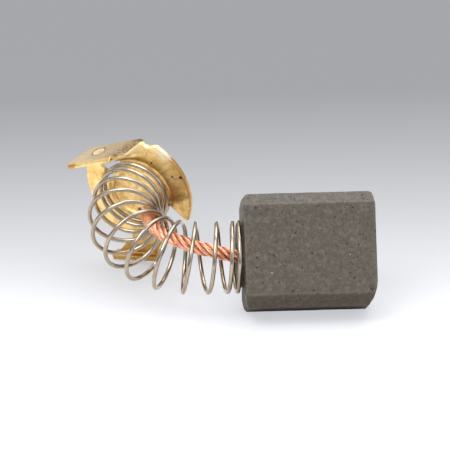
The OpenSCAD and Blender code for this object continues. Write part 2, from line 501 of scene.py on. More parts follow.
def mark_edges(mesh: Mesh, name: str, flat: float, sharp: float) -> None:
    """Store how convex each vertex is, from 0 on a flat to 1 on an edge.

    Args:
        mesh: a remeshed surface in millimetres.
        name: name of the attribute.
        flat: turn of the normal to a neighbour that counts as flat, in radians.
        sharp: turn that counts as a full edge.
    """
    starts = sided(mesh)
    bend = [0.0] * len(starts)
    for edge in mesh.edges:
        (pa, na), (pb, nb) = starts[edge.vertices[0]], starts[edge.vertices[1]]
        turn = (nb - na).dot((pb - pa).normalized())
        for i in edge.vertices:
            bend[i] = max(bend[i], turn)
    values = [smooth_step((b - flat) / (sharp - flat)) for b in bend]
    mesh.attributes.new(name, "FLOAT", "POINT").data.foreach_set("value", values)


# Effects: masks over a surface, each with one shader group for all finishes. A
# speck's edge is frayed, and its full core is smaller than the speck.

SPECK_NOISE, SPECK_FRAY, SPECK_CORE = (9.0, 2.0), 0.25, 0.35
PATCH_NOISE = (5.0, 0.62)
SPOT_NOISE = (4.0, 3.0)
MIDDLE = 0.5


class Effect:
    """A mask over a surface, with its settings as fields."""

    @staticmethod
    def fill(t: Tree, place: Socket, *given: Socket) -> Socket:
        """Work out the mask inside the group.

        Args:
            t: tree of the group.
            place: place on the surface, in millimetres.
            *given: inputs of the group, in the order of the fields.

        Returns:
            The mask.
        """
        raise NotImplementedError


@dataclass(frozen=True)
class Cloud(Effect):
    """Noise between two levels."""

    scale: float
    detail: float
    rough: float
    low: float
    high: float

    @staticmethod
    def fill(t: Tree, place: Socket, *given: Socket) -> Socket:
        """Ramp one noise."""
        return t.ramp(t.noise(place, *given[:3]), *given[3:])


@dataclass(frozen=True)
class Specks(Effect):
    """Round specks scattered at random, with their share and size."""

    spacing: float
    share: float
    size: float

    @staticmethod
    def fill(t: Tree, place: Socket, *given: Socket) -> Socket:
        """Draw a speck in some cells of a Voronoi pattern."""
        spacing, share, size = given
        cell = t.add("ShaderNodeTexVoronoi", feature="F1")
        t.feed(cell, Vector=place, Scale=t.math("DIVIDE", 1.0, spacing))
        wobble = t.minus(t.noise(place, *SPECK_NOISE), MIDDLE)
        near = t.plus(cell.outputs["Distance"], t.times(wobble, SPECK_FRAY))
        pick = t.fed("ShaderNodeSeparateColor", Color=cell.outputs["Color"]).outputs
        reach = t.times(size, t.plus(MIDDLE, pick[1]))
        return t.times(t.ramp(near, reach, t.times(reach, SPECK_CORE)),
                          t.math("LESS_THAN", pick[0], share))


@dataclass(frozen=True)
class Patches(Effect):
    """Soft irregular patches, such as tarnish or a change of tone."""

    scale: float
    cover: float
    softness: float

    @staticmethod
    def fill(t: Tree, place: Socket, *given: Socket) -> Socket:
        """Cut a rich noise at the level that gives the cover."""
        scale, cover, softness = given
        level = t.minus(1.0, cover)
        return t.ramp(t.noise(place, scale, *PATCH_NOISE), t.minus(level, softness),
                         t.plus(level, softness))


@dataclass(frozen=True)
class Spot(Effect):
    """One soft spot around a centre, with a ragged edge."""

    centre: Triple
    radius: float
    softness: float
    stretch: Triple = (1.0, 1.0, 1.0)

    @staticmethod
    def fill(t: Tree, place: Socket, *given: Socket) -> Socket:
        """Ramp the ragged distance to the centre."""
        centre, radius, softness, stretch = given
        way = t.vector("MULTIPLY", t.vector("SUBTRACT", place, centre), stretch)
        ragged = t.minus(t.noise(place, *SPOT_NOISE), MIDDLE)
        far = t.plus(t.vector("LENGTH", way, output="Value"), t.times(ragged, radius))
        return t.ramp(far, radius, t.times(radius, t.minus(1.0, softness)))


@dataclass(frozen=True)
class Layer:
    """A colour that an effect lays over what is below it."""

    effect: Effect
    share: float
    colour: Triple


@dataclass(frozen=True)
class Band:
    """A colour that comes in where a value goes from one level to another."""

    start: float
    full: float
    share: float
    colour: Triple


@cache
def group_of(kind: type[Effect]) -> NodeTree:
    """Build the shader group of an effect, once for all materials.

    Args:
        kind: class of the effect.

    Returns:
        The group, with the effect's fields as its inputs.
    """
    group = bpy.data.node_groups.new(kind.__name__.lower(), "ShaderNodeTree")
    inputs = {"place": "Vector"} | {one.name: "Float" if one.type is float else "Vector"
                                    for one in fields(kind)}
    sockets(group, inputs, "mask", "Float")
    tree = Tree(group)
    come, go = tree.add("NodeGroupInput"), tree.add("NodeGroupOutput")
    tree.put(go.inputs[0], kind.fill(tree, *come.outputs[:len(inputs)]))
    return group


class Finish:
    """A material in the making, with a Principled BSDF of its own."""

    def __init__(self, name: str) -> None:
        """Start a material with only a Principled BSDF."""
        self.material = bpy.data.materials.new(name)
        self.material.use_nodes = True
        self.material.node_tree.nodes.clear()
        self.masks: dict[Effect, Socket] = {}
        self.tree = Tree(self.material.node_tree)
        self.shader = self.tree.add("ShaderNodeBsdfPrincipled")
        self.tree.fed("ShaderNodeOutputMaterial", Surface=self.shader.outputs["BSDF"])
        here = self.tree.add("ShaderNodeTexCoord").outputs["Object"]
        self.place = self.tree.fed("ShaderNodeMapping", Vector=here,
                                   Scale=(1 / MM,) * 3).outputs["Vector"]

    def use_frame(self, axes: Matrix, origin: Vector) -> None:
        """Take places in a frame of its own from here on, still in millimetres.

        Args:
            axes: columns are the frame's axes in the table's frame.
            origin: the frame's origin on the table, in metres.
        """
        turn = axes.transposed()
        self.place = self.tree.fed("ShaderNodeMapping", Vector=self.place,
                                   Rotation=turn.to_euler("XYZ"),
                                   Location=-(turn @ (origin / MM))).outputs["Vector"]

    def mask(self, effect: Effect) -> Socket:
        """Mask of an effect, whose group is placed once in the material."""
        if effect not in self.masks:
            node = self.tree.add("ShaderNodeGroup", node_tree=group_of(type(effect)))
            self.masks[effect] = self.tree.feed(node, place=self.place, **vars(effect)).outputs[0]
        return self.masks[effect]

    def lay(self, colour: object, *layers: Layer, within: object = None) -> Socket:
        """Lay the colours of some layers over a colour.

        Args:
            colour: the colour below.
            *layers: the layers, from below.
            within: mask that limits them, if any.

        Returns:
            A colour output.
        """
        for layer in layers:
            mask = self.tree.times(self.mask(layer.effect), layer.share)
            if within is not None:
                mask = self.tree.times(mask, within)
            colour = self.tree.mix(mask, colour, rgba(layer.colour))
        return colour

    def shade(self, colour: object, value: Socket, *bands: Band) -> Socket:
        """Lay the colours of some bands of a value over a colour.

        Args:
            colour: the colour below.
            value: the value that the bands are cut from.
            *bands: the bands, from below.

        Returns:
            A colour output.
        """
        for band in bands:
            mask = self.tree.ramp(value, band.start, band.full, 0.0, band.share)
            colour = self.tree.mix(mask, colour, rgba(band.colour))
        return colour

    def attribute(self, name: str, output: str = "Fac") -> Socket:
        """Read an attribute that the piece's mesh carries."""
        return self.tree.add("ShaderNodeAttribute", attribute_name=name).outputs[output]

    def bump(self, height: Socket, strength: float, depth: float, under: object = None) -> Socket:
        """Turn a height into a normal.

        Args:
            height: height output.
            strength: strength of the effect.
            depth: depth of the relief in millimetres.
            under: normal that lies under this one, if any.

        Returns:
            A normal output.
        """
        node = self.tree.fed("ShaderNodeBump", Height=height, Strength=strength,
                             Distance=depth * MM)
        if under is not None:
            self.tree.put(node.inputs["Normal"], under)
        return node.outputs["Normal"]


# Finishes. A noise is given as scale, detail and roughness, and a relief as its
# strength and depth. Shares go from 0 to 1; places and depths are in millimetres.


@dataclass(frozen=True)
class GraphiteFinish:
    """Pressed and fired graphite: matt, mottled, with pits and bright grains, edges lighter from
    wear and a painted highlight, and painted contact shade by the table.
    """

    base: Triple = (0.096, 0.084, 0.070)
    light: Triple = (0.156, 0.138, 0.117)
    dark: Triple = (0.050, 0.043, 0.034)
    pit: Triple = (0.016, 0.013, 0.010)
    brown: Triple = (0.140, 0.088, 0.058)
    mottling: tuple[Layer, ...] = (
        Layer(Cloud(2.1, 5.0, 0.80, 0.45, 0.66), 1.0, light),
        Layer(Cloud(3.3, 5.0, 0.80, 0.49, 0.34), 1.0, dark),
        Layer(Patches(0.55, 0.34, 0.10), 0.5, brown),
        Layer(Specks(0.30, 0.12, 0.25), 0.5, brown),
    )
    pits: Layer = Layer(Specks(0.52, 0.50, 0.22), 0.9, pit)
    fine_pits: Layer = Layer(Specks(0.25, 0.45, 0.30), 0.55, dark)
    grains: Layer = Layer(Specks(1.0, 0.24, 0.065), 1.0, (0.50, 0.47, 0.42))
    # Lighter along convex edges: edge wear, and a painted edge highlight.
    worn: Layer = Layer(Cloud(3.0, 4.0, 0.7, 0.35, 0.6), 0.32, (0.210, 0.190, 0.165))
    # Painted contact shade: darker within half a millimetre of the table.
    painted_contact_shade_z: Band = Band(0.55, 0.1, 0.8, pit)
    lumps: Triple = (7.0, 4.0, 0.7)
    fine_depth: float = 0.5
    relief: Pair = (0.55, 0.035)
    roughness: float = 0.54
    specular: float = 0.34

    def make(self, name: str) -> Material:
        """Build the material."""
        f = Finish(name)
        t = f.tree
        colour = f.lay(rgba(self.base), *self.mottling, self.pits, self.fine_pits, self.grains)
        # Convex edges get both edge wear and a painted edge highlight.
        colour = f.lay(colour, self.worn, within=f.attribute("edge"))
        # Painted contact shade low down by the table.
        colour = f.shade(colour, t.split(f.place)[2], self.painted_contact_shade_z)
        pits = t.plus(f.mask(self.pits.effect),
                      t.times(f.mask(self.fine_pits.effect), self.fine_depth))
        relief = t.minus(t.noise(f.place, *self.lumps), pits)
        t.feed(f.shader, Base_Color=colour, Roughness=self.roughness,
               Specular_IOR_Level=self.specular, Normal=f.bump(relief, *self.relief))
        return f.material


@dataclass(frozen=True)
class PlainFinish:
    """A rough surface of one colour, with flecks or stains of another."""

    base: Triple
    marks: Layer
    lumps: Pair
    relief: Pair
    roughness: float
    metallic: float

    def make(self, name: str) -> Material:
        """Build the material."""
        f = Finish(name)
        f.tree.feed(f.shader, Base_Color=f.lay(rgba(self.base), self.marks),
                    Roughness=self.roughness, Metallic=self.metallic,
                    Normal=f.bump(f.tree.noise(f.place, *self.lumps), *self.relief))
        return f.material


TAMPED = PlainFinish((0.07, 0.062, 0.054), Layer(Specks(0.16, 0.25, 0.3), 1.0, (0.35, 0.17, 0.10)),
                     lumps=(9.0, 4.0), relief=(0.8, 0.05), roughness=0.75, metallic=0.0)
WELDED = PlainFinish((0.34, 0.24, 0.16), Layer(Patches(1.6, 0.5, 0.2), 1.0, (0.06, 0.035, 0.025)),
                     lumps=(5.0, 4.0), relief=(0.5, 0.04), roughness=0.5, metallic=0.9)


@dataclass(frozen=True)
class SteelWireFinish:
    """Bright drawn steel wire with die lines along it."""

    base: Triple = (0.47, 0.40, 0.32)
    dull: Triple = (0.22, 0.175, 0.125)
    patches: Layer = Layer(Patches(0.9, 0.42, 0.16), 0.55, dull)
    rust: Layer = Layer(Specks(0.55, 0.20, 0.16), 0.7, (0.13, 0.085, 0.045))
    lines_around: float = 2.6
    lines_along: float = 0.22
    streaks: Triple = (2.4, 4.0, 0.65)
    streak: Band = Band(0.55, 0.30, 1.0, dull)
    rough_mix: Pair = (0.6, 0.4)
    roughness: Pair = (0.12, 0.27)
    relief: Pair = (0.35, 0.012)

    def make(self, name: str) -> Material:
        """Build the material."""
        f = Finish(name)
        t = f.tree
        run = t.fed("ShaderNodeCombineXYZ", Z=t.times(f.attribute("along"), self.lines_along / MM))
        around = t.vector("MULTIPLY", f.attribute("ring", "Vector"), (self.lines_around,) * 3)
        lines = t.noise(t.vector("ADD", around, run.outputs[0]), *self.streaks)
        colour = f.shade(f.lay(rgba(self.base), self.patches), lines, self.streak)
        worn = t.plus(*(t.times(value, share) for value, share in
                        zip((f.mask(self.patches.effect), lines), self.rough_mix)))
        t.feed(f.shader, Base_Color=f.lay(colour, self.rust), Metallic=1.0,
               Roughness=t.ramp(worn, 0.0, 1.0, *self.roughness),
               Normal=f.bump(lines, *self.relief))
        return f.material


@dataclass(frozen=True)
class TabFinish:
    """Colours of the terminal's dull tab, from its tip to a painted highlight on the fold's bend,
    with a painted shadow where the tab's end meets the wing.

    A place on the tab is x along the fold and z toward the spring.
    """

    tip: Triple = (0.60, 0.49, 0.33)
    face: Band = Band(-5.2, -1.5, 1.0, (0.47, 0.365, 0.225))
    # Painted highlight where the fold's bend catches the light.
    lit: Triple = (1.0, 0.79, 0.40)
    # Colour of tarnished dirt, also used for painted shadow.
    tarnish: Triple = (0.20, 0.105, 0.022)
    patches: Layer = Layer(Patches(1.5, 0.45, 0.10), 0.45, (0.66, 0.39, 0.10))
    fold_slope: float = 0.52
    wave: Pair = (2.6, 3.0)
    wave_size: float = 0.7
    # Span across the fold where the painted highlight on the bend comes in.
    bend_highlight_zone: Pair = (0.0, 0.3)
    dirty_zone: Pair = (-2.6, -0.9)
    grime: tuple[tuple[Effect, float], ...] = (
        (Specks(0.24, 0.85, 0.42), 0.8), (Cloud(4.6, 3.0, 0.6, 0.42, 0.56), 0.7))
    grime_least: float = 0.15
    # Painted shadow at the tab's end where it meets the wing, in the tarnished colour.
    corner_shade_at: Pair = (0.95, -2.78)
    corner_shade_way: Pair = (0.744, -0.669)
    corner_shade_zone: Pair = (-0.55, -0.2)
    corner_shade_z: Pair = (-0.5, -1.0)
    corner_shade_share: float = 0.8

    def colour(self, f: Finish, x: Socket, z: Socket) -> Socket:
        """Colour of the tab's outer face.

        Args:
            f: the finish in the making.
            x: place along the fold.
            z: place toward the spring.

        Returns:
            A colour output.
        """
        t = f.tree
        wave = t.times(t.minus(t.noise(f.place, *self.wave), MIDDLE), self.wave_size)
        fold = t.plus(x, t.times(z, self.fold_slope), wave)
        # Painted highlight on the fold's bend.
        bend_highlight = t.ramp(fold, *self.bend_highlight_zone)
        dirty = t.times(t.ramp(fold, *self.dirty_zone), t.minus(1.0, bend_highlight))
        # Reach into the tab's end behind the wing, for its painted shadow.
        corner_shade_edge = t.plus(*(t.times(t.minus(along, at), way)
                       for along, at, way in zip((x, z), self.corner_shade_at, self.corner_shade_way)))
        grime = t.plus(*(t.times(f.mask(effect), share) for effect, share in self.grime))
        grime = t.times(t.math("MINIMUM", t.plus(self.grime_least, grime), 1.0), dirty)
        colour = f.lay(f.shade(rgba(self.tip), x, self.face), self.patches)
        colour = t.mix(grime, colour, rgba(self.tarnish))
        colour = t.mix(bend_highlight, colour, rgba(self.lit))
        # Painted shadow at the tab's end behind the wing.
        painted_corner_shade = t.times(t.ramp(corner_shade_edge, *self.corner_shade_zone), t.ramp(z, *self.corner_shade_z), self.corner_shade_share)
        return t.mix(painted_corner_shade, colour, rgba(self.tarnish))


@dataclass(frozen=True)
class PlateFinish:
    """Colours of the terminal's seat, wing and foot, in the seat's frame, with painted shade,
    highlights and reflections.
    """

    base: Triple = (0.98, 0.72, 0.33)
    shade: Triple = (0.38, 0.21, 0.055)
    deep: Triple = (0.66, 0.39, 0.10)
    # Colour of tarnished patches, also used for painted shade.
    tarnish: Triple = (0.20, 0.105, 0.022)
    # Light colour of polish streaks, also used for painted highlights.
    bright: Triple = (1.0, 0.94, 0.78)
    stain: Triple = (0.060, 0.036, 0.014)
    blotches: tuple[Layer, ...] = (
        Layer(Patches(0.70, 0.50, 0.10), 0.55, deep),
        Layer(Patches(2.4, 0.40, 0.08), 0.30, tarnish),
        Layer(Patches(1.5, 0.42, 0.05), 0.35, shade),
    )
    foot: Layer = Layer(Patches(1.3, 0.50, 0.12), 0.55, shade)
    foot_y: Pair = (-3.6, -4.8)
    wing_c: Triple = (-0.66, 0.15, 0.0)
    # Painted shade along the wing's outer edge, where it turns away from the light.
    rims: tuple[Band, ...] = (Band(5.2, 5.9, 0.4, deep), Band(5.74, 5.9, 0.7, shade))
    # Around the last coil: grime, and painted shade cast by the spring.
    groove: tuple[Pair, ...] = ((3.2, 3.4), (3.85, 3.45))
    groove_share: float = 0.65
    marks: tuple[Layer, ...] = (
        # Painted highlight on the wing's upper edge.
        Layer(Spot((4.45, 3.6, 0), 1.0, 0.6, (0.9, 0.7, 0)), 0.6, bright),
        # Painted dark reflection on the lower part of the wing.
        Layer(Spot((3.9, -1.45, 0), 0.72, 0.8, (0.34, 1, 0)), 0.9, shade),
        # Painted reflection of the copper shunt in the wing.
        Layer(Spot((3.68, -0.72, 0), 0.45, 0.8, (0.9, 1, 0)), 0.7, (0.90, 0.42, 0.14)),
        Layer(Spot((5.03, 0.56, 0), 0.21, 0.5, (1, 1, 0)), 1.0, stain),
        Layer(Spot((4.25, 0.80, 0), 0.14, 0.5, (1, 1, 0)), 1.0, stain),
        Layer(Spot((2.78, 2.59, 0), 0.14, 0.5, (1, 1, 0)), 1.0, stain),
    )

    def colour(self, f: Finish, y: Socket, radius: Socket) -> Socket:
        """Colour of the plate.

        Args:
            f: the finish in the making.
            y: place past the tab.
            radius: distance from the spring's axis.

        Returns:
            A colour output.
        """
        t = f.tree
        colour = f.lay(rgba(self.base), *self.blotches)
        colour = f.lay(colour, self.foot, within=t.ramp(y, *self.foot_y))
        out = t.vector("DISTANCE", f.place, self.wing_c, "Value")
        # Painted shade along the wing's outer edge.
        colour = f.shade(colour, out, *self.rims)
        # Grime and painted shade around the last coil.
        groove = t.times(*(t.ramp(radius, *zone) for zone in self.groove), self.groove_share)
        # Lay the painted highlight, the painted reflections and the stains.
        return f.lay(t.mix(groove, colour, rgba(self.tarnish)), *self.marks)


@dataclass(frozen=True)
class BrassFinish:
    """Stamped brass, tarnished, with drag marks, a hole and a dull tab face, and with painted
    shade, highlights and reflections.
    """

    tab: TabFinish = TabFinish()
    plate: PlateFinish = PlateFinish()
    tab_y: Pair = (3.73, 3.80)
    tab_z: Pair = (-0.02, -0.10)
    # Painted shade in a ring around the hole.
    burr: Layer = Layer(Spot((-3.4, 3.61, -1.7), 0.8525, 0.35, (1, 0, 1)), 0.75, plate.tarnish)
    # Painted highlight on the inside of the hole.
    wall: Layer = Layer(Spot((-3.4, 3.61, -1.7), 0.77, 0.05, (1, 0, 1)), 1.0, plate.bright)
    wall_y: Pair = (3.83, 3.78)
    hole_y: Pair = (3.0, 3.2)
    drag_scale: Triple = (0.5, 3.5, 3.5)
    drag_turn: Triple = (0.0, 0.0, 0.5)
    drag: Triple = (2.2, 4.0, 0.6)
    drag_tones: tuple[Band, ...] = (
        Band(0.58, 0.72, 0.35, plate.deep), Band(0.42, 0.30, 0.45, plate.bright))
    fine: Layer = Layer(Specks(0.34, 0.30, 0.15), 0.5, plate.tarnish)
    spots: Layer = Layer(Specks(0.95, 0.30, 0.10), 0.7, plate.stain)
    roughness: tuple[float, float, float, float] = (0.1, 0.9, 0.27, 0.42)
    tab_rough: float = 0.12
    film: Spot = Spot((4.35, 1.2, 0.0), 1.5, 0.9, (1.0, 0.62, 0.0))
    dull_shares: Triple = (0.4, 0.3, 0.6)
    drag_depth: float = 0.7
    spot_depth: float = 0.6
    relief: Pair = (0.40, 0.03)
    waves: Triple = (2.6, 5.0, 0.7)
    wave_relief: Pair = (0.55, 0.07)

    def make(self, name: str, pose: RestingPose, seat: SeatFrame) -> Material:
        """Build the material in the seat's own frame."""
        f = Finish(name)
        t = f.tree
        f.use_frame(pose.turn() @ seat.axes(), pose.to_table(seat.point(Vector())))
        x, y, z = t.split(f.place)
        radius = t.math("SQRT", t.plus(t.times(x, x), t.times(y, y)))
        tab = t.times(t.ramp(y, *self.tab_y), t.ramp(z, *self.tab_z))
        drag = t.fed("ShaderNodeMapping", Vector=f.place, Scale=self.drag_scale,
                     Rotation=self.drag_turn)
        lines = t.noise(drag.outputs[0], *self.drag)
        upper = t.ramp(y, *self.hole_y)
        inner = t.times(upper, t.ramp(y, *self.wall_y))
        colour = t.mix(tab, self.plate.colour(f, y, radius), self.tab.colour(f, x, z))
        # Painted shade around the hole.
        colour = f.lay(colour, self.burr, within=upper)
        # Painted highlight on the inside of the hole.
        colour = f.lay(colour, self.wall, within=inner)
        colour = f.lay(f.shade(colour, lines, *self.drag_tones), self.fine, self.spots)
        film = t.times(f.mask(self.film), t.minus(1.0, tab))
        wall = t.times(f.mask(self.wall.effect), inner)
        dull = t.plus(*(t.times(mask, share)
                        for mask, share in zip((film, tab, wall), self.dull_shares)))
        relief = t.minus(t.times(lines, self.drag_depth),
                         t.times(f.mask(self.spots.effect), self.spot_depth))
        waves = f.bump(t.noise(f.place, *self.waves), *self.wave_relief)
        t.feed(f.shader, Base_Color=colour, Metallic=t.minus(1.0, dull),
               Roughness=t.plus(t.ramp(lines, *self.roughness), t.times(tab, self.tab_rough)),
               Normal=f.bump(relief, *self.relief, waves))
        return f.material


@dataclass(frozen=True)
class CopperFinish:
    """Bare copper wires of the shunt, darkened by painted shade around the welded end."""

    base: Triple = (1.0, 0.60, 0.42)
    brown: Triple = (0.80, 0.32, 0.17)
    shade: Triple = (0.36, 0.10, 0.045)
    patches: Layer = Layer(Patches(1.1, 0.5, 0.15), 0.6, brown)
    specks: Layer = Layer(Specks(0.40, 0.3, 0.2), 0.5, shade)
    tones: tuple[Band, ...] = (Band(0.55, 1.0, 0.75, brown), Band(0.22, 0.0, 0.5, shade))
    # Painted shade where the shunt goes into the seat by the weld.
    weld_end_shade_r: float = 1.3
    weld_end_shade_softness: float = 0.7
    weld_end_shade_share: float = 0.9
    scratches: Pair = (14.0, 3.0)
    relief: Pair = (0.3, 0.01)
    roughness: float = 0.36

    def make(self, name: str, hub: Triple) -> Material:
        """Build the material around the place of the weld, in millimetres."""
        f = Finish(name)
        t = f.tree
        colour = f.shade(f.lay(rgba(self.base), self.patches), f.attribute("tone"), *self.tones)
        # Painted shade around the welded end.
        weld_end_shade = Layer(Spot(hub, self.weld_end_shade_r, self.weld_end_shade_softness), self.weld_end_shade_share, self.shade)
        t.feed(f.shader, Base_Color=f.lay(colour, weld_end_shade, self.specks), Metallic=1.0,
               Roughness=self.roughness,
               Normal=f.bump(t.noise(f.place, *self.scratches), *self.relief))
        return f.material


# Sweeping wires along lines with Geometry Nodes


@dataclass(frozen=True)
class WireSweep:
    """Round wires swept along poly lines by a Geometry Nodes tree."""

    name: str
    radius: float
    sides: int
    material: Material
    tone_seed: int = 7

    def _tree(self) -> tuple[NodeTree, dict[str, str]]:
        """Build the tree: lines in, dressed tubes out."""
        group = bpy.data.node_groups.new(f"{self.name}_sweep", "GeometryNodeTree")
        names = sockets(group, {"Lines": "Geometry", "Wire Radius": "Float", "Sides": "Int",
                                "Finish": "Material"}, "Wires", "Geometry")
        t = Tree(group)
        come, go = t.add("NodeGroupInput"), t.add("NodeGroupOutput")
        run = t.add("GeometryNodeSplineParameter")
        line = t.store(come.outputs["Lines"], "along", run.outputs["Length"])
        chance = t.feed(t.add("FunctionNodeRandomValue", data_type="FLOAT"), Seed=self.tone_seed)
        line = t.store(line, "tone", chance.outputs[1], domain="CURVE")
        ring = t.fed("GeometryNodeCurvePrimitiveCircle", Resolution=come.outputs["Sides"],
                     Radius=come.outputs["Wire Radius"])
        unit = t.vector("NORMALIZE", t.add("GeometryNodeInputPosition").outputs[0])
        ring = t.store(ring.outputs["Curve"], "ring", unit, data_type="FLOAT_VECTOR")
        sweep = t.fed("GeometryNodeCurveToMesh", Curve=line, Profile_Curve=ring, Fill_Caps=True)
        real = t.fed("GeometryNodeRealizeInstances", Geometry=sweep.outputs[0])
        dress = t.fed("GeometryNodeSetMaterial", Geometry=real.outputs[0],
                      Material=come.outputs["Finish"])
        t.put(go.inputs["Wires"], dress.outputs[0])
        return group, names

    def mesh(self, lines: list[list[Vector]]) -> Mesh:
        """Sweep the wire along each line.

        Args:
            lines: points of each line on the table, in metres.

        Returns:
            One plain mesh with all wires.
        """
        curve = bpy.data.curves.new(f"{self.name}_lines", "CURVE")
        curve.dimensions = "3D"
        for points in lines:
            spline = curve.splines.new("POLY")
            spline.points.add(len(points) - 1)
            spline.points.foreach_set("co", [c for p in points for c in (*p, 1.0)])
        helper = link(bpy.data.objects.new(f"{self.name}_helper", curve))
        tree, names = self._tree()
        modifier = helper.modifiers.new("sweep", "NODES")
        modifier.node_group = tree
        modifier[names["Wire Radius"]] = self.radius * MM
        modifier[names["Sides"]] = self.sides
        modifier[names["Finish"]] = self.material
        mesh = mesh_of(helper)
        helper.modifiers.remove(modifier)
        bpy.data.objects.remove(helper)
        return mesh


# Sub-assemblies. Lumps are given as their size, the largest move and a shift of
# the noise.


@dataclass
class GraphiteBlock:
    """The block with its spigot, and the powder tamped around the shunt."""

    finish: GraphiteFinish = GraphiteFinish()
    powder: PlainFinish = TAMPED
    wear: Softening = Softening(voxel=0.075, passes=2)
    edge_turns: Pair = (0.02, 0.12)
    lumps: tuple[Triple, ...] = ((1.7, 0.014, 3.0), (0.35, 0.0098, 8.0))
    powder_wear: Softening = Softening(voxel=0.06, passes=3)
    powder_lumps: Triple = (0.22, 0.04, 1.0)

    def build(self) -> list[Object]:
        """Make the worn block and the tamped ring."""
        mesh = self.wear.mesh("carbon_block")
        mark_edges(mesh, "edge", *self.edge_turns)
        block = finished("block_worn", roughened(mesh, *self.lumps),
                         self.finish.make("graphite_pressed"))
        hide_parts("carbon_block")
        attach(block, BODY)
        ring = roughened(self.powder_wear.mesh("tamping"), self.powder_lumps)
        powder = finished("powder_ring", ring, self.powder.make("powder_tamped"))
        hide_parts("tamping")
        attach(powder, BODY)
        return [block, powder]


@dataclass
class CoilSpring:
    """The bent compression spring."""

    pose: RestingPose = RestingPose()
    shape: CoilShape = CoilShape()
    finish: SteelWireFinish = SteelWireFinish()
    per_turn: int = 56
    sides: int = 16

    def build(self) -> list[Object]:
        """Sweep the wire along its helix."""
        line = [self.pose.to_table(p) for p in self.shape.centreline(self.per_turn)]
        material = self.finish.make("spring_wire_drawn")
        sweep = WireSweep("spring", self.shape.wire_d / 2, self.sides, material)
        spring = finished("spring_coil", sweep.mesh([line]), material)
        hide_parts("spring")
        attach(spring, BODY)
        return [spring]


@dataclass
class CopperShunt:
    """The stranded shunt: fine wires laid around the middle of each strand."""

    pose: RestingPose = RestingPose()
    shape: ShuntShape = ShuntShape()
    finish: CopperFinish = CopperFinish()
    steps: int = 190
    sides: int = 6
    fine_lay: float = -3.4
    start_side: Triple = (0.31, 0.52, 0.79)
    strand_phase: float = 0.7
    stray: float = 0.07
    stray_len: float = 0.7
    stray_shift: float = 3.1
    stray_seed: int = 7
    calm_start: int = 40
    calm_end: int = 30

    def _around(self, line: list[Vector], radius: float, lay: float,
                phase: float) -> list[Vector]:
        """Lay a line around another one.

        Args:
            line: the line in the middle.
            radius: distance from it.
            lay: length of one full twist, negative for the other hand.
            phase: angle at the start, in radians.

        Returns:
            The new line, with as many points.
        """
        side = Vector(self.start_side)
        run = 0.0
        laid = []
        for i, p in enumerate(line):
            ahead = (line[min(i + 1, len(line) - 1)] - line[max(i - 1, 0)]).normalized()
            side = (side - ahead * side.dot(ahead)).normalized()
            if i:
                run += (p - line[i - 1]).length
            a = phase + 2 * math.pi * run / lay
            laid.append(p + radius * (math.cos(a) * side + math.sin(a) * ahead.cross(side)))
        return laid

    def _strayed(self, line: list[Vector], seed: float) -> list[Vector]:
        """Let a fine wire wander a little, except at its ends."""
        strayed = []
        for i, p in enumerate(line):
            left = len(line) - 1 - i
            calm = smooth_step(i / self.calm_start) * smooth_step(left / self.calm_end)
            sway = noise.noise_vector(p / self.stray_len + Vector((seed, -seed, 2 * seed)))
            strayed.append(p + self.stray * calm * sway)
        return strayed

    def build(self) -> list[Object]:
        """Lay strands around the middle and fine wires around each strand."""
        s = self.shape
        pinch = math.sin(math.pi / s.wires)
        wire_r = s.strand_r * pinch / (1.0 + pinch)
        centre = s.centreline(self.steps)
        strands = [centre] + [self._around(centre, s.lay_r, s.lay_len, 2 * math.pi * k / s.strands)
                              for k in range(s.strands)]
        hub = tuple(self.pose.to_table(centre[-1]) / MM)
        material = self.finish.make("shunt_copper_bare", hub)
        noise.seed_set(self.stray_seed)  # noise vectors start from the clock otherwise
        wires = []
        for k, strand in enumerate(strands):
            for j in range(s.wires):
                phase = 2 * math.pi * j / s.wires + self.strand_phase * k
                wire = self._around(strand, s.strand_r - wire_r, self.fine_lay, phase)
                wires.append(self._strayed(wire, self.stray_shift * len(wires)))
        table = [[self.pose.to_table(p) for p in wire] for wire in wires]
        mesh = WireSweep("shunt", wire_r, self.sides, material).mesh(table)
        shunt = finished("shunt_wires", mesh, material)
        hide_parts("shunt_core", *[f"shunt_strand_{k + 1}" for k in range(s.strands)])
        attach(shunt, BODY)
        return [shunt]


